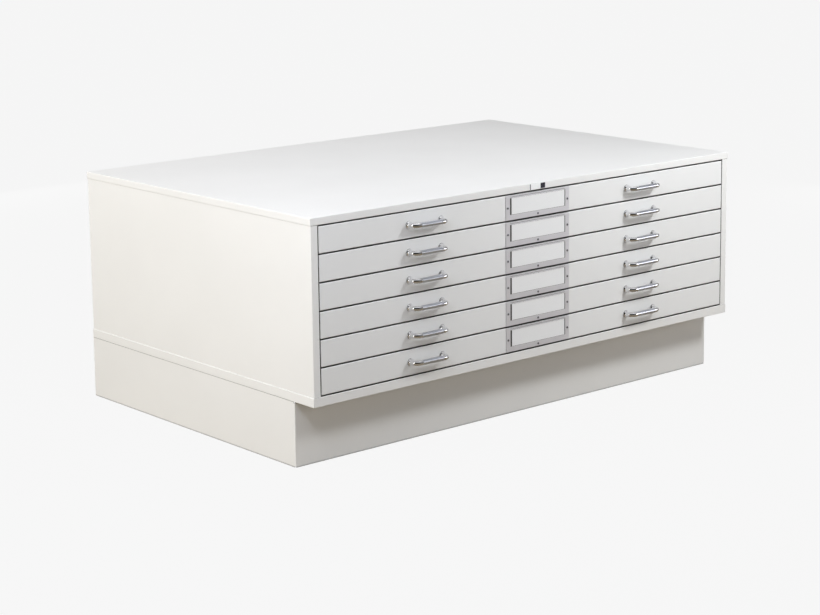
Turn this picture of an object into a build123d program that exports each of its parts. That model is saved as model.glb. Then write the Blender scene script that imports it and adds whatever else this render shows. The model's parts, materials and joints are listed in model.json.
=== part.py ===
from build123d import *
import os

os.makedirs("parts", exist_ok=True)

# A steel flat file cabinet for A0 sheets. Millimetres, +Z up, the drawer fronts face -Y.
# The origin is on the floor, under the middle of the outer box with every drawer shut.

# Case
case_width = 1350
case_depth = 900
plinth_height = 150
deck_height = 22
cap_height = 17
stile_width = 20
plinth_setback = 70
case_sheet = 1.2
case_bend = 1.5
panel_inset = 1
case_flange = 24
relief_notch = 4

# Drawers
drawer_count = 6
front_height = 60
front_depth = 18
front_gap = 3
side_gap = 2
drawer_sheet = 1.0
front_bend = 2.0
tray_half_width = 634
tray_height = 46
tray_lift = 6
tray_length = 860
hood_depth = 90
hem = 5

# Runners
runner_height = 35
runner_length = 830
runner_thickness = 12.7
runner_sheet = 1.2
runner_lift = 5
runner_gap = 4
upright_width = 40
upright_foot = 16
upright_offset = 100

# Distances from the tray's side wall, and heights, of the three nested runner members
fixed_member = ((2.7, runner_thickness), runner_height, True)
middle_member = ((3.2, 10.5), runner_height - 6, True)
inner_member = ((0, 8.1), runner_height - 12, False)
retainer_size = (4, 120, 1.2)
retainer_offset = 3

# Bow handles
handle_x = 350
handle_spacing = 96
handle_diameter = 12
handle_reach = 27
handle_bend = 12
foot_diameter = 18
foot_height = 8

# Label holder
label_width = 206
label_height = 58
label_depth = 1.6
label_window = (180, 39.5)
label_bottom_bar = 12.5
label_floor = 0.5
card_size = (172.5, 38.5)
card_thickness = 0.6
label_line = 0.8
label_rounding = 0.5
card_slack = 1.75
rivet_x = 97
rivet_rise = 7

# Nameplate on the cap
nameplate_size = (50, 14)
nameplate_sheet = 0.8
nameplate_square = (15, 12.8)
nameplate_bar = 2.2
nameplate_margin = 0.6

# Fasteners
screw_radius = 2
screw_head_radius = 4
screw_head_height = 2.2
rivet_radius = 1.5
rivet_head_radius = 2.6
rivet_head_height = 1.3
rivet_head_rounding = 1.04
hole_clearance = 0.1
upright_screw_rise = 60
deck_screw_spacing = (1270, 450)

# Worked out from the sizes above
opening_height = drawer_count * front_height + (drawer_count + 1) * front_gap
deck_top = plinth_height + deck_height
cap_bottom = deck_top + opening_height
front_y = -(case_depth + handle_reach) / 2 + handle_reach
back_y = front_y + case_depth
mid_y = (front_y + back_y) / 2
panel_x = case_width / 2 - panel_inset
panel_inner_x = panel_x - case_sheet
stile_inner_x = case_width / 2 - stile_width
front_half_width = stile_inner_x - side_gap
runner_x = tray_half_width + runner_thickness
tray_front_y = front_y + front_depth
runner_front_y = tray_front_y + runner_gap
upright_ys = (front_y + upright_offset, mid_y, back_y - upright_offset)


def save(piece, name):
    piece.part.label = name
    export_step(piece.part, f"parts/{name}.step")


def front_bottom(number):
    """Height of the lower edge of a drawer front. Drawer 1 is the top one."""
    return cap_bottom - number * (front_height + front_gap)


def folded_section(plane, points, thickness, bend):
    """Section of a folded sheet. The points run along the middle of the sheet."""
    with BuildSketch(plane) as section:
        with BuildLine():
            FilletPolyline(*points, radius=bend)
        trace(line_width=thickness)
    return section.sketch


def mirrored(points):
    return [(-x, y) for x, y in points]


# ---------------------------------------------------------------- case


def make_top_cap():
    """A shallow lid with its edges turned down and then inwards."""
    lip = case_flange / 2
    with BuildPart() as cap:
        with BuildSketch(Plane.XY.offset(cap_bottom)):
            with Locations((0, mid_y)):
                Rectangle(case_width, case_depth)
        extrude(amount=cap_height)
        fillet(cap.edges().group_by(Axis.Z)[-1], radius=case_bend)
        fillet(cap.edges().group_by(Axis.Z)[0], radius=case_bend)
        with BuildSketch(Plane.XY.offset(cap_bottom + case_sheet)):
            with Locations((0, mid_y)):
                Rectangle(case_width - 2 * case_sheet, case_depth - 2 * case_sheet)
        extrude(amount=cap_height - 2 * case_sheet, mode=Mode.SUBTRACT)
        with BuildSketch(Plane.XY.offset(cap_bottom)):
            with Locations((0, mid_y)):
                Rectangle(case_width - 2 * lip, case_depth - 2 * lip)
        extrude(amount=2 * case_sheet, mode=Mode.SUBTRACT)
    return cap


def make_side_panel(side):
    """Side sheet with a front stile, a rear return and a flange above and below."""
    half = case_sheet / 2
    outer = side * (panel_x - half)
    stile = side * (stile_inner_x + half)
    rear = side * (panel_x - case_flange)
    floor = deck_top
    outline = [
        (stile, front_y + case_flange / 2),
        (stile, front_y + half),
        (outer, front_y + half),
        (outer, back_y - half),
        (rear, back_y - half),
    ]
    plane = Plane.XY.offset(floor)
    section = folded_section(plane, outline, case_sheet, case_bend)
    flange_middle = side * (panel_inner_x - case_flange / 2)
    with BuildPart() as panel:
        extrude(section, amount=opening_height)
        for height in (floor, cap_bottom - case_sheet):
            with BuildSketch(Plane.XY.offset(height)):
                with Locations((flange_middle, mid_y)):
                    Rectangle(case_flange, case_depth - 2 * case_flange)
            extrude(amount=case_sheet)
    return panel


def make_back_panel():
    """Rear sheet behind the side panels' rear returns, with its ends turned forwards."""
    half = case_sheet / 2
    edge_x = panel_inner_x - case_bend - half
    sheet_y = back_y - case_sheet - half
    outline = [
        (-edge_x, sheet_y - case_flange / 2),
        (-edge_x, sheet_y),
        (edge_x, sheet_y),
        (edge_x, sheet_y - case_flange / 2),
    ]
    plane = Plane.XY.offset(deck_top + case_sheet)
    section = folded_section(plane, outline, case_sheet, case_bend)
    with BuildPart() as panel:
        extrude(section, amount=opening_height - 2 * case_sheet)
    return panel


def make_bottom_deck():
    """A floor pan with its edges turned up and then inwards; the case stands on the flanges."""
    with BuildPart() as deck:
        with BuildSketch(Plane.XY.offset(plinth_height)):
            with Locations((0, mid_y)):
                Rectangle(case_width, case_depth)
        extrude(amount=deck_height)
        fillet(deck.edges().group_by(Axis.Z)[-1], radius=case_bend)
        fillet(deck.edges().group_by(Axis.Z)[0], radius=case_bend)
        with BuildSketch(Plane.XY.offset(plinth_height + case_sheet)):
            with Locations((0, mid_y)):
                Rectangle(case_width - 2 * case_sheet, case_depth - 2 * case_sheet)
        extrude(amount=deck_height - 2 * case_sheet, mode=Mode.SUBTRACT)
        with BuildSketch(Plane.XY.offset(deck_top - 2 * case_sheet)):
            with Locations((0, mid_y)):
                Rectangle(case_width - 4 * case_flange, case_depth - 4 * case_flange)
        extrude(amount=3 * case_sheet, mode=Mode.SUBTRACT)
    return deck


def make_plinth_skirt():
    """Front and both sides of the plinth, one sheet folded round the front corners."""
    half = case_sheet / 2
    side_x = case_width / 2 - half
    skirt_y = front_y + plinth_setback
    outline = [
        (-side_x, back_y),
        (-side_x, skirt_y + half),
        (side_x, skirt_y + half),
        (side_x, back_y),
    ]
    section = folded_section(Plane.XY, outline, case_sheet, case_bend)
    with BuildPart() as skirt:
        extrude(section, amount=plinth_height)
        flange_length = back_y - skirt_y - 2 * case_flange
        for height in (0, plinth_height - case_sheet):
            with BuildSketch(Plane.XY.offset(height)):
                with Locations((0, skirt_y + case_sheet + case_flange / 2)):
                    Rectangle(case_width - 4 * case_flange, case_flange)
                with Locations((0, (skirt_y + back_y) / 2)):
                    with GridLocations(case_width - 2 * case_sheet - case_flange, 0, 2, 1):
                        Rectangle(case_flange, flange_length)
            extrude(amount=case_sheet)
        # Relief notches where the flanges stop short of the folded corners.
        for height in (relief_notch / 4, plinth_height - relief_notch / 4):
            with Locations((0, skirt_y, height)):
                with GridLocations(case_width, 0, 2, 1):
                    Box(relief_notch, 2 * relief_notch, relief_notch, mode=Mode.SUBTRACT)
    return skirt


def make_plinth_back():
    """Rear wall of the plinth: a channel with tabs that turn against the side walls."""
    half = case_sheet / 2
    end_x = case_width / 2 - case_sheet - half
    outline = [
        (-end_x, back_y - case_flange),
        (-end_x, back_y - half),
        (end_x, back_y - half),
        (end_x, back_y - case_flange),
    ]
    plane = Plane.XY.offset(case_sheet)
    section = folded_section(plane, outline, case_sheet, case_bend)
    with BuildPart() as rail:
        extrude(section, amount=plinth_height - 2 * case_sheet)
        for height in (0, plinth_height - case_sheet):
            with BuildSketch(Plane.XY.offset(height)):
                with Locations((0, back_y - case_flange / 2)):
                    Rectangle(case_width - 4 * case_flange, case_flange)
            extrude(amount=case_sheet)
    return rail


def make_slide_uprights():
    """Hat channels that carry the fixed runners, three between the flanges of each side panel."""
    half = case_sheet / 2
    foot_x = panel_inner_x - half
    crown_x = runner_x + half
    reach = upright_width / 2
    height = opening_height - 2 * case_sheet
    plane = Plane.XY.offset(deck_top + case_sheet)
    with BuildPart() as uprights:
        for y in upright_ys:
            hat = [
                (foot_x, y - reach - upright_foot),
                (foot_x, y - reach),
                (crown_x, y - reach),
                (crown_x, y + reach),
                (foot_x, y + reach),
                (foot_x, y + reach + upright_foot),
            ]
            for points in (hat, mirrored(hat)):
                extrude(folded_section(plane, points, case_sheet, case_bend), amount=height)
    return uprights


# ---------------------------------------------------------------- runners


def runner_section(plane, thickness_range, height, web_outside):
    """C-shaped runner section. The range is measured from the tray's side wall outwards."""
    near, far = thickness_range
    half = runner_sheet / 2
    web = far - half if web_outside else near + half
    edge = near if web_outside else far
    outline = [
        (edge, height / 2 - half),
        (web, height / 2 - half),
        (web, half - height / 2),
        (edge, half - height / 2),
    ]
    return folded_section(plane, outline, runner_sheet, runner_sheet)


def make_runners(member, numbers, retainers=False):
    """Runners of one kind on both sides of the numbered drawers."""
    (near, far), height, web_outside = member
    with BuildPart() as runners:
        for number in numbers:
            middle_z = front_bottom(number) + tray_lift + runner_lift + runner_height / 2
            for side in (-1, 1):
                start = (side * tray_half_width, runner_front_y, middle_z)
                plane = Plane(start, x_dir=(side, 0, 0), z_dir=(0, -side, 0))
                section = runner_section(plane, (near, far), height, web_outside)
                extrude(section, amount=-side * runner_length)
            if not retainers:
                continue
            # Strips that hold the balls above and below, at both ends of the member.
            strip_x = tray_half_width + near + retainer_offset
            strip_z = height / 2 + retainer_size[2] / 2
            strip_y = runner_length / 2 - retainer_size[1]
            with Locations((0, runner_front_y + runner_length / 2, middle_z)):
                with GridLocations(2 * strip_x, 2 * strip_y, 2, 2):
                    with Locations((0, 0, strip_z), (0, 0, -strip_z)):
                        Box(*retainer_size)
    return runners


# ---------------------------------------------------------------- drawers


def make_front(number):
    """Pressed drawer front: a pan with rounded front edges, open towards the tray."""
    bottom = front_bottom(number)
    middle_z = bottom + front_height / 2
    with BuildPart() as front:
        with Locations((0, front_y + front_depth / 2, middle_z)):
            Box(2 * front_half_width, front_depth, front_height)
        fillet(front.faces().sort_by(Axis.Y)[0].edges(), radius=front_bend)
        rear_face = front.faces().sort_by(Axis.Y)[-1]
        offset(amount=-drawer_sheet, openings=rear_face)
        with BuildSketch(Plane.XZ.offset(-front_y)):
            for x in handle_feet():
                with Locations((x, middle_z)):
                    Circle(screw_radius + hole_clearance)
            for x, z in rivet_places(bottom):
                with Locations((x, z)):
                    Circle(rivet_radius + hole_clearance)
        extrude(amount=-2 * drawer_sheet, mode=Mode.SUBTRACT)
    return front


def make_tray(number):
    """Sheet tray with hemmed sides, a rear hood and a plate that closes the front's back."""
    bottom = front_bottom(number) + tray_lift
    middle_y = tray_front_y + tray_length / 2
    wall = 2 * drawer_sheet
    inner_back = tray_front_y + tray_length - drawer_sheet
    with BuildPart() as tray:
        with Locations((0, middle_y, bottom + tray_height / 2)):
            Box(2 * tray_half_width, tray_length, tray_height)
        with Locations((0, middle_y, bottom + tray_height / 2 + drawer_sheet)):
            Box(2 * tray_half_width - wall, tray_length - wall, tray_height, mode=Mode.SUBTRACT)
        # Hems folded inwards along the tops of the side walls.
        with Locations((0, middle_y, bottom + tray_height - drawer_sheet / 2)):
            with GridLocations(2 * tray_half_width - hem, 0, 2, 1):
                Box(hem, tray_length, drawer_sheet)
        # The hood keeps the sheets' far edges from curling over the rear wall.
        hood_z = bottom + tray_height - drawer_sheet / 2
        with Locations((0, inner_back - hood_depth / 2, hood_z)):
            Box(2 * tray_half_width, hood_depth, drawer_sheet)
        with Locations((0, inner_back - hood_depth, hood_z - hem / 2)):
            Box(2 * tray_half_width - wall, drawer_sheet, hem)
        # The plate fits inside the pan of the drawer front.
        plate_z = front_bottom(number) + front_height / 2
        with Locations((0, tray_front_y - drawer_sheet / 2, plate_z)):
            Box(2 * front_half_width - wall, drawer_sheet, front_height - wall)
    return tray


def handle_feet():
    """X of the four handle feet of a drawer."""
    reach = handle_spacing / 2
    return [side * handle_x + end for side in (-1, 1) for end in (-reach, reach)]


def make_handles(number):
    """Two bow handles with rounded corners and flared feet."""
    z = front_bottom(number) + front_height / 2
    grip_y = front_y - handle_reach + handle_diameter / 2
    with BuildPart() as handles:
        for centre in (-handle_x, handle_x):
            left = centre - handle_spacing / 2
            right = centre + handle_spacing / 2
            with BuildLine(mode=Mode.PRIVATE) as bow:
                FilletPolyline(
                    (left, front_y, z),
                    (left, grip_y, z),
                    (right, grip_y, z),
                    (right, front_y, z),
                    radius=handle_bend,
                )
            with BuildSketch(Plane(bow.line @ 0, z_dir=bow.line % 0)):
                Circle(handle_diameter / 2)
            sweep(path=bow.line)
            for x in (left, right):
                face = Plane((x, front_y, z), z_dir=(0, -1, 0))
                with BuildSketch(face):
                    Circle(foot_diameter / 2)
                with BuildSketch(face.offset(foot_height)):
                    Circle(handle_diameter / 2)
                loft()
                with BuildSketch(face):
                    Circle(screw_radius + hole_clearance)
                extrude(amount=foot_height, mode=Mode.SUBTRACT)
    return handles


def make_label_frame(number):
    """Label holder with a sunk window, a line pressed along its top bar and rivet holes."""
    bottom = front_bottom(number) + (front_height - label_height) / 2
    window_middle = bottom + label_bottom_bar + label_window[1] / 2
    face = Plane.XZ.offset(-front_y)
    line_z = (window_middle + label_window[1] / 2 + bottom + label_height) / 2
    with BuildPart() as frame:
        with BuildSketch(face):
            with Locations((0, bottom + label_height / 2)):
                Rectangle(label_width, label_height)
        extrude(amount=label_depth)
        fillet(frame.faces().sort_by(Axis.Y)[0].edges(), radius=label_rounding)
        with BuildSketch(face.offset(label_floor)):
            with Locations((0, window_middle)):
                Rectangle(*label_window)
        extrude(amount=label_depth, mode=Mode.SUBTRACT)
        with BuildSketch(face.offset(label_depth - label_line)):
            with Locations((0, line_z)):
                Rectangle(label_window[0], label_line)
        extrude(amount=label_depth, mode=Mode.SUBTRACT)
        with BuildSketch(face):
            for x, z in rivet_places(front_bottom(number)):
                with Locations((x, z)):
                    Circle(rivet_radius + hole_clearance)
        extrude(amount=label_depth, mode=Mode.SUBTRACT)
    return frame


def make_label_card(number):
    """Blank card in the window, pushed towards its right end."""
    bottom = front_bottom(number) + (front_height - label_height) / 2
    window_middle = bottom + label_bottom_bar + label_window[1] / 2
    with BuildPart() as card:
        with BuildSketch(Plane.XZ.offset(-front_y + label_floor)):
            with Locations((card_slack, window_middle)):
                Rectangle(*card_size)
        extrude(amount=card_thickness)
    return card


def rivet_places(bottom):
    """X and Z of the rivets of a label holder: one in each side bar, one in the lower bar."""
    middle = bottom + front_height / 2
    return [(-rivet_x, middle), (rivet_x, middle), (0, bottom + rivet_rise)]


def make_fasteners(number):
    """The label holder's domed rivets and the handles' screws."""
    bottom = front_bottom(number)
    middle = bottom + front_height / 2
    rivet_face = Plane.XZ.offset(-front_y + label_depth)
    skin_back = Plane.XZ.offset(-front_y - drawer_sheet)
    with BuildPart() as fasteners:
        for x, z in rivet_places(bottom):
            head = rivet_face.shift_origin((x, rivet_face.origin.Y, z))
            with BuildSketch(head):
                Circle(rivet_head_radius)
            extrude(amount=rivet_head_height)
            rim = fasteners.edges(Select.LAST).group_by(Axis.Y)[0]
            fillet(rim, radius=rivet_head_rounding)
            with BuildSketch(head):
                Circle(rivet_radius)
            extrude(amount=-(label_depth + 3 * drawer_sheet))
        for x in handle_feet():
            seat = skin_back.shift_origin((x, skin_back.origin.Y, middle))
            with BuildSketch(seat):
                Circle(screw_head_radius)
            extrude(amount=-screw_head_height)
            with BuildSketch(seat):
                Circle(screw_radius)
            extrude(amount=foot_height)
    return fasteners


def make_case_screws():
    """Screws that hold the uprights' feet to the side panels and the deck to the plinth."""
    foot_middle = (upright_width + upright_foot) / 2
    with BuildPart() as screws:
        for side in (-1, 1):
            for y in upright_ys:
                for z in (deck_top + upright_screw_rise, cap_bottom - upright_screw_rise):
                    for foot_y in (y - foot_middle, y + foot_middle):
                        place = (side * (panel_inner_x - case_sheet), foot_y, z)
                        with BuildSketch(Plane(place, z_dir=(-side, 0, 0))):
                            Circle(screw_head_radius)
                        extrude(amount=screw_head_height)
        with Locations((0, mid_y, plinth_height + case_sheet + screw_head_height / 2)):
            with GridLocations(*deck_screw_spacing, 2, 2):
                Cylinder(screw_head_radius, screw_head_height)
    return screws


# ---------------------------------------------------------------- nameplate

def make_nameplate():
    """Blank plate on the front edge of the cap, with pockets for its dark inlays."""
    face = Plane.XZ.offset(-front_y)
    middle = cap_bottom + cap_height / 2
    square_x = nameplate_size[0] / 2 - nameplate_square[0] / 2 - nameplate_margin
    bar_x = nameplate_margin + nameplate_bar / 2 - nameplate_size[0] / 2
    with BuildSketch(face.offset(nameplate_sheet / 2)) as inlays:
        with Locations((square_x, middle)):
            Rectangle(*nameplate_square)
        with Locations((bar_x, middle)):
            Rectangle(nameplate_bar, nameplate_square[1])
    with BuildPart() as plate:
        with BuildSketch(face):
            with Locations((0, middle)):
                Rectangle(*nameplate_size)
        extrude(amount=nameplate_sheet)
        extrude(inlays.sketch, amount=nameplate_sheet, mode=Mode.SUBTRACT)
    with BuildPart() as inlay:
        extrude(inlays.sketch, amount=nameplate_sheet / 2)
    return plate, inlay


# ---------------------------------------------------------------- assembly

save(make_top_cap(), "top_cap")
save(make_side_panel(-1), "left_side_panel")
save(make_side_panel(1), "right_side_panel")
save(make_back_panel(), "back_panel")
save(make_bottom_deck(), "bottom_deck")
save(make_plinth_skirt(), "plinth_skirt")
save(make_plinth_back(), "plinth_back")
save(make_slide_uprights(), "slide_uprights")
save(make_case_screws(), "case_screws")
nameplate, nameplate_inlay = make_nameplate()
save(nameplate, "nameplate")
save(nameplate_inlay, "nameplate_inlay")

drawer_numbers = range(1, drawer_count + 1)
save(make_runners(fixed_member, drawer_numbers), "fixed_runners")

for number in drawer_numbers:
    save(make_front(number), f"drawer_{number}_front")
    save(make_tray(number), f"drawer_{number}_tray")
    save(make_handles(number), f"drawer_{number}_handles")
    save(make_label_frame(number), f"drawer_{number}_label_frame")
    save(make_label_card(number), f"drawer_{number}_label_card")
    save(make_fasteners(number), f"drawer_{number}_fasteners")
    save(make_runners(inner_member, [number]), f"drawer_{number}_inner_runners")
    save(make_runners(middle_member, [number], retainers=True), f"drawer_{number}_middle_runners")
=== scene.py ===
import json
import math

import bmesh
import bpy
from mathutils import Matrix, Vector


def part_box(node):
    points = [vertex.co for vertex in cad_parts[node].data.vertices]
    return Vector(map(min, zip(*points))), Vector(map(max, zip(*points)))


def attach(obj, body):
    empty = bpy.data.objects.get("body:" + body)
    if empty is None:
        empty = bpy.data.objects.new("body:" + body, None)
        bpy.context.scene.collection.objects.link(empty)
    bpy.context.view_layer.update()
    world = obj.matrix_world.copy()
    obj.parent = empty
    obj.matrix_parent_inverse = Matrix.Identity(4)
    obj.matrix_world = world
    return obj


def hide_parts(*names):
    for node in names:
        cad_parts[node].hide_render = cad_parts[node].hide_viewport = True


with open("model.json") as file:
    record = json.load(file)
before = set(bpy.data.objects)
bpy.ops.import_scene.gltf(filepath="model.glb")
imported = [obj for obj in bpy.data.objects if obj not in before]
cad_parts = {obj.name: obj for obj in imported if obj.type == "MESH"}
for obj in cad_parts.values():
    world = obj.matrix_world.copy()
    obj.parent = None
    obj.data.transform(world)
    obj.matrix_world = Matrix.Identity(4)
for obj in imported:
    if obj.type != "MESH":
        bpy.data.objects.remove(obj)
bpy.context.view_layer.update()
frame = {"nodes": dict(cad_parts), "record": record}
nodes = frame["nodes"]

# A white steel flat file cabinet in a plain studio. Metres; the drawer fronts face -Y.

DRAWERS = range(1, 7)

# Bow handles: where they sit, their bar, their flared feet and how far the polish runs in
HANDLE_X = 0.350
HANDLE_SPACING = 0.096
BAR_RADIUS = 0.006
BEND_RADIUS = 0.012
FOOT_RADIUS = 0.009
FOOT_HEIGHT = 0.008
FOOT_RIM = 0.0012
POLISHED_COLLAR = 0.004
COLLAR_EDGE = 0.0006

# Steps of the handle sweep: round the foot's rim, up its flare, along a bend, round the bar
RIM_STEPS = 4
FLARE_STEPS = 10
BEND_STEPS = 12
BAR_SIDES = 32

# Window of the label holders, how far below their face its painted shade starts, and the colour of
# that painted shade
WINDOW_WIDTH = 0.180
WINDOW_EDGE = 0.0002
WINDOW_SHADE_COLOR = (0.05, 0.045, 0.04)

# Painted shade in the gaps of the paint: how far it looks, how open a place turns it off, and its
# colour
GAP_SHADE_REACH = 0.01
GAP_SHADE_OPENNESS = (0.42, 0.74)
GAP_SHADE_COLOR = (0.012, 0.011, 0.01)

# Where the camera stands, and how it looks at the cabinet
CAMERA_PLACE = (-3.2991, -3.8567, 1.3563)
CAMERA_AZIMUTH = -40.345
CAMERA_ELEVATION = 10.116
CAMERA_ROLL = -0.726
CAMERA_LENS = 89.82
CAMERA_SHIFT = -0.12

# Linear values of the pale background, and of the floor that is seen and the one that is not
PALE = 0.9216
FLOOR_HALF_SIZE = 40
BOUNCE_FLOOR_Z = -0.0005
FLOOR_DIFFUSE = (0.012, 0.012, 0.012)
FLOOR_GLOW = 0.915
BOUNCE_DIFFUSE = (0.26, 0.218, 0.158)

# The room: its fill light, then its glow low down and overhead, between two heights
FILL = (0.03, 0.028, 0.024)
ROOM_GLOW = (0.22, 0.95)
ROOM_HEIGHTS = (0.55, 0.97)

# The room's dark side: the way to it, how squarely a ray has to face it, and what it leaves
DARK_SIDE = (-0.64, -0.75, 0.17)
DARK_SIDE_FACING = (0.45, 0.88)
DARK_SIDE_GLOW = 0.1


# ---------------------------------------------------------------- materials


class Surface:
    """A material on a Principled shader, with short calls for the nodes that vary it."""

    def __init__(self, name, color, roughness, metallic=0.0):
        self.material = bpy.data.materials.new(name)
        self.material.use_nodes = True
        self.nodes = self.material.node_tree.nodes
        self.links = self.material.node_tree.links
        self.shader = self.nodes["Principled BSDF"]
        self.shader.inputs["Base Color"].default_value = (*color, 1)
        self.shader.inputs["Roughness"].default_value = roughness
        self.shader.inputs["Metallic"].default_value = metallic
        coordinates = self.nodes.new("ShaderNodeTexCoord")
        self.place = coordinates.outputs["Object"]
        self.relief = None

    def link(self, source, target):
        self.links.new(source, target)

    def noise(self, size, detail=2.0, rough=0.5, stretch=(1, 1, 1)):
        """Noise whose features are about `size` metres across, longer where stretch is above 1."""
        mapping = self.nodes.new("ShaderNodeMapping")
        mapping.inputs["Scale"].default_value = [1 / (size * s) for s in stretch]
        self.link(self.place, mapping.inputs["Vector"])
        noise = self.nodes.new("ShaderNodeTexNoise")
        noise.inputs["Scale"].default_value = 1.0
        noise.inputs["Detail"].default_value = detail
        noise.inputs["Roughness"].default_value = rough
        self.link(mapping.outputs["Vector"], noise.inputs["Vector"])
        return noise.outputs["Fac"]

    def cells(self, size):
        """Colour that changes from one cell to the next, in cells about `size` metres across."""
        voronoi = self.nodes.new("ShaderNodeTexVoronoi")
        voronoi.inputs["Scale"].default_value = 1 / size
        self.link(self.place, voronoi.inputs["Vector"])
        return voronoi.outputs["Color"]

    def spread(self, value, low, high, out_low, out_high):
        """Maps value from low..high to out_low..out_high, clamped."""
        span = self.nodes.new("ShaderNodeMapRange")
        for socket, number in zip(
            ("From Min", "From Max", "To Min", "To Max"), (low, high, out_low, out_high)
        ):
            span.inputs[socket].default_value = number
        self.link(value, span.inputs["Value"])
        return span.outputs["Result"]

    def blend(self, value, first, second):
        """Colour that goes from first to second as value goes from 0 to 1."""
        mix = self.nodes.new("ShaderNodeMix")
        mix.data_type = "RGBA"
        mix.inputs["A"].default_value = (*first, 1)
        mix.inputs["B"].default_value = (*second, 1)
        self.link(value, mix.inputs["Factor"])
        return mix.outputs["Result"]

    def color_from(self, socket):
        self.link(socket, self.shader.inputs["Base Color"])

    def roughness_from(self, socket):
        self.link(socket, self.shader.inputs["Roughness"])

    def painted_gap_shade(self, color):
        """Paints shade into the colour in gaps, near-black where other surfaces stand close all
        round.
        """
        occlusion = self.nodes.new("ShaderNodeAmbientOcclusion")
        occlusion.inputs["Distance"].default_value = GAP_SHADE_REACH
        openness = self.spread(occlusion.outputs["AO"], *GAP_SHADE_OPENNESS, 0, 1)
        mix = self.nodes.new("ShaderNodeMix")
        mix.data_type = "RGBA"
        mix.inputs["A"].default_value = (*GAP_SHADE_COLOR, 1)
        self.link(color, mix.inputs["B"])
        self.link(openness, mix.inputs["Factor"])
        return mix.outputs["Result"]

    def bump(self, value, height):
        """Adds relief of the given height in metres on top of what is already there."""
        bump = self.nodes.new("ShaderNodeBump")
        bump.inputs["Strength"].default_value = 1.0
        bump.inputs["Distance"].default_value = height
        self.link(value, bump.inputs["Height"])
        if self.relief:
            self.link(self.relief, bump.inputs["Normal"])
        self.relief = bump.outputs["Normal"]
        self.link(self.relief, self.shader.inputs["Normal"])


def powder_coat(name, light, dark, roughness):
    """Fine textured powder coat with orange peel, a faint waviness, soft tone changes and painted
    shade in its gaps.
    """
    paint = Surface(name, light, roughness)
    tone = paint.blend(paint.spread(paint.noise(0.18, 3), 0.35, 0.65, 0, 1), light, dark)
    # Painted shade: the tone turns near-black in gaps between parts
    paint.color_from(paint.painted_gap_shade(tone))
    grain = paint.noise(0.0035, 4, 0.6)
    paint.roughness_from(paint.spread(grain, 0.3, 0.7, roughness - 0.05, roughness + 0.06))
    paint.bump(paint.noise(0.09, 1), 0.0004)
    paint.bump(paint.noise(0.0016, 3, 0.6), 0.00003)
    return paint.material


def chrome():
    """Bright bends and feet, and a grip with a fine satin grain along it."""
    metal = Surface("handle_chrome", (0.80, 0.81, 0.84), 0.12, 1.0)
    polish = metal.nodes.new("ShaderNodeAttribute")
    polish.attribute_name = "polish"
    grain = metal.noise(0.0006, 3, 0.6, (40, 1, 1))
    satin = metal.spread(grain, 0.3, 0.7, 0.26, 0.38)
    mix = metal.nodes.new("ShaderNodeMix")
    mix.data_type = "FLOAT"
    mix.inputs["B"].default_value = 0.09
    metal.link(polish.outputs["Fac"], mix.inputs["Factor"])
    metal.link(satin, mix.inputs["A"])
    metal.roughness_from(mix.outputs["Result"])
    metal.color_from(metal.blend(polish.outputs["Fac"], (0.66, 0.68, 0.74), (0.84, 0.84, 0.85)))
    metal.bump(grain, 0.000012)
    return metal.material


def satin_aluminium(face_y):
    """Satin label holder whose face is at face_y, with painted shade, near-black, inside its window
    behind the card.
    """
    metal = Surface("label_metal", (0.72, 0.71, 0.74), 0.42, 0.35)
    grain = metal.noise(0.0005, 3, 0.6, (60, 1, 1))
    metal.roughness_from(metal.spread(grain, 0.3, 0.7, 0.36, 0.5))
    tone = metal.blend(metal.noise(0.03, 3), (0.75, 0.74, 0.77), (0.70, 0.69, 0.72))
    axes = metal.nodes.new("ShaderNodeSeparateXYZ")
    metal.link(metal.place, axes.inputs["Vector"])
    aside = metal.nodes.new("ShaderNodeMath")
    aside.operation = "ABSOLUTE"
    metal.link(axes.outputs["X"], aside.inputs[0])
    # Mask of the window's inside below the holder's face, where near-black shade is painted
    inside = metal.nodes.new("ShaderNodeMath")
    inside.operation = "MULTIPLY"
    side = WINDOW_WIDTH / 2
    below = face_y + WINDOW_EDGE
    fade = 2 * WINDOW_EDGE
    metal.link(metal.spread(aside.outputs["Value"], side, side + fade, 1, 0), inside.inputs[0])
    metal.link(metal.spread(axes.outputs["Y"], below, below + fade, 0, 1), inside.inputs[1])
    # Painted shade: the metal turns near-black inside the window
    mix = metal.nodes.new("ShaderNodeMix")
    mix.data_type = "RGBA"
    mix.inputs["B"].default_value = (*WINDOW_SHADE_COLOR, 1)
    metal.link(inside.outputs["Value"], mix.inputs["Factor"])
    metal.link(tone, mix.inputs["A"])
    metal.color_from(mix.outputs["Result"])
    metal.bump(grain, 0.00001)
    return metal.material


def label_card():
    """Matt card with short fibres."""
    card = Surface("label_card", (0.88, 0.89, 0.90), 0.85)
    fibre = card.noise(0.0012, 5, 0.7, (3, 1, 1))
    shade = card.spread(fibre, 0.3, 0.7, 0, 1)
    card.color_from(card.blend(shade, (0.90, 0.905, 0.91), (0.86, 0.865, 0.87)))
    card.bump(fibre, 0.00004)
    return card.material


def dark_steel():
    """Dull dark steel of the rivets and screws."""
    metal = Surface("fastener_steel", (0.20, 0.20, 0.22), 0.38, 0.9)
    grain = metal.noise(0.0008, 4)
    metal.roughness_from(metal.spread(grain, 0.3, 0.7, 0.3, 0.5))
    metal.bump(grain, 0.00002)
    return metal.material


def zinc():
    """Zinc plate with faint spangles and drawn lines along the runners."""
    metal = Surface("zinc_steel", (0.60, 0.61, 0.62), 0.38, 1.0)
    drawn = metal.noise(0.0008, 3, 0.6, (1, 60, 1))
    tone = metal.nodes.new("ShaderNodeRGBToBW")
    metal.link(metal.cells(0.012), tone.inputs["Color"])
    metal.color_from(metal.blend(tone.outputs["Val"], (0.56, 0.57, 0.59), (0.68, 0.68, 0.67)))
    metal.roughness_from(metal.spread(drawn, 0.3, 0.7, 0.3, 0.46))
    metal.bump(drawn, 0.00002)
    return metal.material


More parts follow.
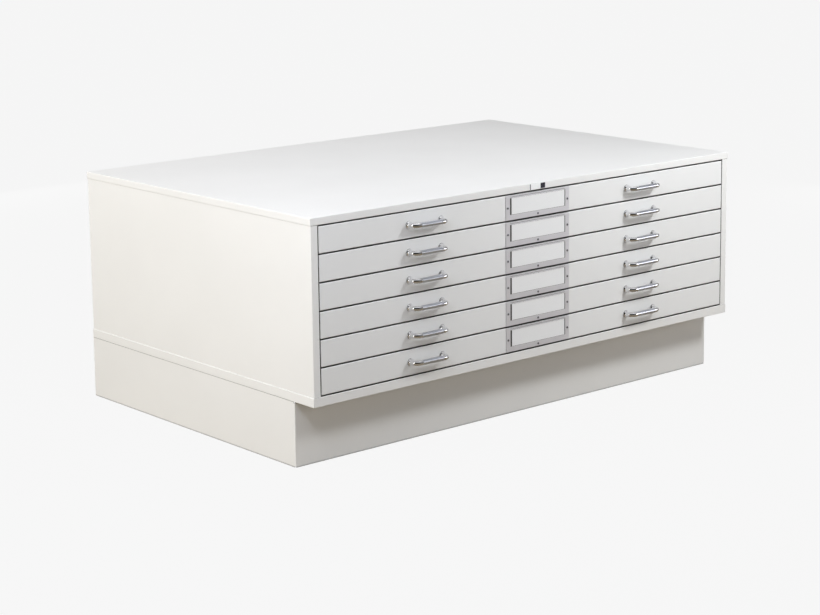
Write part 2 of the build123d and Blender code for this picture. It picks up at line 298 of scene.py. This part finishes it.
def enamel(name, color):
    """Glossy nameplate finish with a very slight ripple."""
    gloss = Surface(name, color, 0.18)
    ripple = gloss.noise(0.004, 2)
    gloss.roughness_from(gloss.spread(ripple, 0.3, 0.7, 0.14, 0.24))
    gloss.bump(ripple, 0.00002)
    return gloss.material


# Powder coats: slot, lighter and darker tone, roughness
POWDER_COATS = [
    ("case_paint", (0.862, 0.859, 0.846), (0.846, 0.843, 0.830), 0.46),
    ("front_paint", (0.85, 0.852, 0.848), (0.835, 0.838, 0.835), 0.44),
    ("tray_paint", (0.82, 0.82, 0.81), (0.80, 0.80, 0.79), 0.5),
]


def make_finishes():
    """The material of every slot."""
    finishes = {coat[0]: powder_coat(*coat) for coat in POWDER_COATS}
    finishes["handle_chrome"] = chrome()
    finishes["label_metal"] = satin_aluminium(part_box("drawer_1_label_frame")[0].y)
    finishes["label_card"] = label_card()
    finishes["fastener_steel"] = dark_steel()
    finishes["zinc_steel"] = zinc()
    finishes["nameplate_white"] = enamel("nameplate_white", (0.95, 0.955, 0.96))
    finishes["nameplate_dark"] = enamel("nameplate_dark", (0.035, 0.035, 0.045))
    return finishes


def dress_cad_nodes(finishes):
    """Gives every CAD node the finish of its material slot."""
    for part in frame["record"]["subparts"]:
        mesh = nodes[part["node"]].data
        mesh.materials.clear()
        mesh.materials.append(finishes[part["material_slot"]])


# ---------------------------------------------------------------- handles


def arc(centre, radius, start, end, steps):
    """Points of an arc in the XY plane, without its first point. Angles in degrees."""
    angles = [math.radians(start + (end - start) * i / steps) for i in range(1, steps + 1)]
    return [centre + Vector((math.cos(a), math.sin(a), 0)) * radius for a in angles]


def half_bow(front, reach):
    """Route from one foot to the middle of the bar, with the radius and polish at each point.

    It runs from (0, front) away from the drawer, bends towards +X and ends mid-bar."""
    grip = front - reach + BAR_RADIUS
    rows = []
    for i in range(RIM_STEPS + 1):
        turn = math.pi / 2 * i / RIM_STEPS
        rise = FOOT_RIM * (1 - math.cos(turn))
        width = FOOT_RADIUS - FOOT_RIM * (1 - math.sin(turn))
        rows.append((Vector((0, front - rise, 0)), width, 1.0))
    for i in range(1, FLARE_STEPS + 1):
        climb = i / FLARE_STEPS
        height = FOOT_RIM + (FOOT_HEIGHT - FOOT_RIM) * climb
        width = BAR_RADIUS + (FOOT_RADIUS - BAR_RADIUS) * (1 - math.sin(climb * math.pi / 2))
        rows.append((Vector((0, front - height, 0)), width, 1.0))
    bend_centre = Vector((BEND_RADIUS, grip + BEND_RADIUS, 0))
    rows.append((Vector((0, bend_centre.y, 0)), BAR_RADIUS, 1.0))
    for point in arc(bend_centre, BEND_RADIUS, 180, 270, BEND_STEPS):
        rows.append((point, BAR_RADIUS, 1.0))
    collar = BEND_RADIUS + POLISHED_COLLAR
    rows.append((Vector((collar, grip, 0)), BAR_RADIUS, 1.0))
    rows.append((Vector((collar + COLLAR_EDGE, grip, 0)), BAR_RADIUS, 0.0))
    rows.append((Vector((HANDLE_SPACING / 2, grip, 0)), BAR_RADIUS, 0.0))
    return rows


def bow_mesh(name, centre_x, z, front, reach):
    """One bow handle as a swept mesh: rings along the route, closed at both feet."""
    half = half_bow(front, reach)
    shift = Vector((-HANDLE_SPACING / 2, 0, 0))
    left = [(point + shift, radius, shine) for point, radius, shine in half]
    right = [(Vector((-p.x, p.y, 0)), radius, shine) for p, radius, shine in reversed(left[:-1])]
    rows = left + right
    mesh = bpy.data.meshes.new(name)
    bm = bmesh.new()
    polish = bm.verts.layers.float.new("polish")
    middle = Vector((centre_x, 0, z))
    up = Vector((0, 0, 1))
    rings = []
    for i, (point, radius, shine) in enumerate(rows):
        ahead = rows[min(i + 1, len(rows) - 1)][0] - rows[max(i - 1, 0)][0]
        tangent = ahead.normalized()
        across = tangent.cross(up)
        ring = []
        for k in range(BAR_SIDES):
            angle = 2 * math.pi * k / BAR_SIDES
            offset = across * math.cos(angle) + up * math.sin(angle)
            vert = bm.verts.new(point + offset * radius + middle)
            vert[polish] = shine
            ring.append(vert)
        rings.append(ring)
    for first, second in zip(rings, rings[1:]):
        for k in range(BAR_SIDES):
            after = (k + 1) % BAR_SIDES
            bm.faces.new((first[k], second[k], second[after], first[after]))
    bm.faces.new(rings[0])
    bm.faces.new(reversed(rings[-1]))
    bmesh.ops.recalc_face_normals(bm, faces=bm.faces)
    for face in bm.faces:
        face.smooth = len(face.verts) == 4
    bm.to_mesh(mesh)
    bm.free()
    return mesh


def make_handles(material):
    """A left and a right bow handle on each drawer, in place of its CAD handles."""
    for number in DRAWERS:
        node = f"drawer_{number}_handles"
        low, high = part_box(node)
        middle = (low.z + high.z) / 2
        for side, x in (("left", -HANDLE_X), ("right", HANDLE_X)):
            name = f"drawer_{number}_{side}_bow_handle"
            mesh = bow_mesh(name, x, middle, high.y, high.y - low.y)
            mesh.materials.append(material)
            handle = bpy.data.objects.new(name, mesh)
            bpy.context.scene.collection.objects.link(handle)
            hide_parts(node)
            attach(handle, f"drawer_{number}")


# ---------------------------------------------------------------- studio


def plain_material(name, color, glow=0.0):
    """Diffuse material, with light of its own where glow is above 0, for the floors."""
    material = bpy.data.materials.new(name)
    material.use_nodes = True
    tree = material.node_tree
    tree.nodes.clear()
    output = tree.nodes.new("ShaderNodeOutputMaterial")
    diffuse = tree.nodes.new("ShaderNodeBsdfDiffuse")
    diffuse.inputs["Color"].default_value = (*color, 1)
    lamp = tree.nodes.new("ShaderNodeEmission")
    lamp.inputs["Strength"].default_value = glow
    total = tree.nodes.new("ShaderNodeAddShader")
    tree.links.new(diffuse.outputs["BSDF"], total.inputs[0])
    tree.links.new(lamp.outputs["Emission"], total.inputs[1])
    tree.links.new(total.outputs["Shader"], output.inputs["Surface"])
    return material


def make_floor(name, z, material):
    """Wide square floor at height z."""
    mesh = bpy.data.meshes.new(name)
    half = FLOOR_HALF_SIZE
    corners = [(-half, -half, z), (half, -half, z), (half, half, z), (-half, half, z)]
    mesh.from_pydata(corners, [], [(0, 1, 2, 3)])
    mesh.materials.append(material)
    floor = bpy.data.objects.new(name, mesh)
    bpy.context.scene.collection.objects.link(floor)
    return floor


def make_floors():
    """The pale floor that is seen, and a darker one below it that only throws light back."""
    seen = make_floor("floor", 0, plain_material("floor_seen", FLOOR_DIFFUSE, FLOOR_GLOW))
    seen.visible_diffuse = False
    seen.visible_glossy = False
    seen.visible_shadow = False
    bounce_material = plain_material("floor_bounce", BOUNCE_DIFFUSE)
    unseen = make_floor("floor_bounce", BOUNCE_FLOOR_Z, bounce_material)
    unseen.visible_camera = False


def make_world():
    """Pale backdrop for the camera, a weak fill, and a room for the metal to reflect.

    The room is bright overhead, grey all round and dark on the left in front of the cabinet."""
    world = bpy.data.worlds.new("studio")
    bpy.context.scene.world = world
    world.use_nodes = True
    tree = world.node_tree
    tree.nodes.clear()

    def add(kind, **inputs):
        node = tree.nodes.new(kind)
        for socket, value in inputs.items():
            node.inputs[socket.replace("_", " ")].default_value = value
        return node

    def link(source, target):
        tree.links.new(source, target)

    def between(value, limits_in, limits_out):
        """Maps value smoothly from the first pair of limits to the second."""
        limits = dict(zip(("From_Min", "From_Max"), limits_in))
        limits.update(zip(("To_Min", "To_Max"), limits_out))
        span = add("ShaderNodeMapRange", **limits)
        span.interpolation_type = "SMOOTHSTEP"
        link(value, span.inputs["Value"])
        return span.outputs["Result"]

    direction = add("ShaderNodeTexCoord").outputs["Generated"]
    axes = add("ShaderNodeSeparateXYZ")
    link(direction, axes.inputs["Vector"])
    toward = add("ShaderNodeVectorMath")
    toward.operation = "DOT_PRODUCT"
    toward.inputs[1].default_value = DARK_SIDE
    link(direction, toward.inputs[0])
    room = add("ShaderNodeMath")
    room.operation = "MULTIPLY"
    link(between(axes.outputs["Z"], ROOM_HEIGHTS, ROOM_GLOW), room.inputs[0])
    shade = between(toward.outputs["Value"], DARK_SIDE_FACING, (1.0, DARK_SIDE_GLOW))
    link(shade, room.inputs[1])

    seen = add("ShaderNodeBackground", Color=(PALE, PALE, PALE, 1))
    fill = add("ShaderNodeBackground", Color=(*FILL, 1))
    reflected = add("ShaderNodeBackground", Color=(0.97, 0.98, 1, 1))
    link(room.outputs["Value"], reflected.inputs["Strength"])
    path = add("ShaderNodeLightPath")
    unseen = add("ShaderNodeMixShader")
    link(path.outputs["Is Glossy Ray"], unseen.inputs["Fac"])
    link(fill.outputs["Background"], unseen.inputs[1])
    link(reflected.outputs["Background"], unseen.inputs[2])
    total = add("ShaderNodeMixShader")
    link(path.outputs["Is Camera Ray"], total.inputs["Fac"])
    link(unseen.outputs["Shader"], total.inputs[1])
    link(seen.outputs["Background"], total.inputs[2])
    output = add("ShaderNodeOutputWorld")
    link(total.outputs["Shader"], output.inputs["Surface"])


def make_softbox(name, place, aim, size, color, power, shows):
    """Rectangular lamp that the camera doesn't see, and that metal reflects only if it shows."""
    data = bpy.data.lights.new(name, "AREA")
    data.shape = "RECTANGLE"
    data.size, data.size_y = size
    data.color = color
    data.energy = power
    lamp = bpy.data.objects.new(name, data)
    bpy.context.scene.collection.objects.link(lamp)
    lamp.location = place
    lamp.rotation_euler = (Vector(aim) - Vector(place)).to_track_quat("-Z", "Y").to_euler()
    lamp.visible_camera = False
    lamp.visible_glossy = shows


# Softboxes: name, place, point aimed at, width and height, colour, watts, shows in metal
SOFTBOXES = [
    ("side_fill", (-3.4, 0.3, 1.0), (-0.6, 0.1, 0.3), (2.2, 2.0), (1, 0.99, 0.955), 54.5, True),
    ("top_front", (-1.0, -1.2, 2.2), (-0.1, -0.2, 0.35), (2.6, 2.0), (0.89, 0.92, 1), 22.2, False),
    ("top_left", (-1.5, 0.8, 2.0), (-0.1, -0.2, 0.35), (1.5, 1.5), (1, 0.99, 0.98), 20, True),
    ("top_back", (0.6, 0.9, 1.8), (-0.1, -0.2, 0.35), (1.5, 1.5), (0.99, 0.985, 1), 8.6, True),
    ("right_key", (0.82, -1.38, 1.39), (0.1, -0.4, 0.35), (0.3, 0.3), (0.97, 0.99, 1), 15.0, False),
    ("left_key", (-1.3, -1.0, 1.0), (-0.5, -0.35, 0.3), (0.3, 0.3), (0.9, 0.93, 1), 3.1, False),
    ("right_fill", (2.5, -2.5, 0.9), (-0.1, -0.2, 0.35), (1.5, 1.2), (0.975, 0.975, 1), 19, True),
    ("front_fill", (-1.2, -5.0, 1.0), (0.0, -0.5, 0.35), (2.5, 2.0), (0.97, 0.98, 1), 19, False),
    ("far_side", (3.2, 0.2, 0.3), (0.6, 0.1, 0.3), (2.0, 0.45), (1, 0.99, 0.97), 22, False),
    ("behind", (0.0, 3.4, 0.3), (0.0, 0.5, 0.3), (2.4, 0.45), (1, 0.99, 0.97), 24, False),
]


def make_lights():
    """All the softboxes."""
    for softbox in SOFTBOXES:
        make_softbox(*softbox)


def make_camera():
    """Camera at the photograph's place, turned by azimuth, elevation and roll."""
    data = bpy.data.cameras.new("camera")
    data.lens = CAMERA_LENS
    data.sensor_width = 36
    data.shift_y = CAMERA_SHIFT
    camera = bpy.data.objects.new("camera", data)
    bpy.context.scene.collection.objects.link(camera)
    azimuth = math.radians(CAMERA_AZIMUTH)
    elevation = math.radians(CAMERA_ELEVATION)
    roll = math.radians(CAMERA_ROLL)
    back = Vector(
        (
            math.sin(azimuth) * math.cos(elevation),
            -math.cos(azimuth) * math.cos(elevation),
            math.sin(elevation),
        )
    )
    level = Vector((math.cos(azimuth), math.sin(azimuth), 0))
    upright = back.cross(level)
    right = level * math.cos(roll) + upright * math.sin(roll)
    up = upright * math.cos(roll) - level * math.sin(roll)
    turn = Matrix((right, up, back)).transposed().to_4x4()
    camera.matrix_world = Matrix.Translation(CAMERA_PLACE) @ turn
    bpy.context.scene.camera = camera


def make_studio():
    scene = bpy.context.scene
    scene.view_settings.view_transform = "Standard"
    scene.view_settings.look = "None"
    make_camera()
    make_floors()
    make_world()
    make_lights()


make_studio()
finishes = make_finishes()
dress_cad_nodes(finishes)
make_handles(finishes["handle_chrome"])
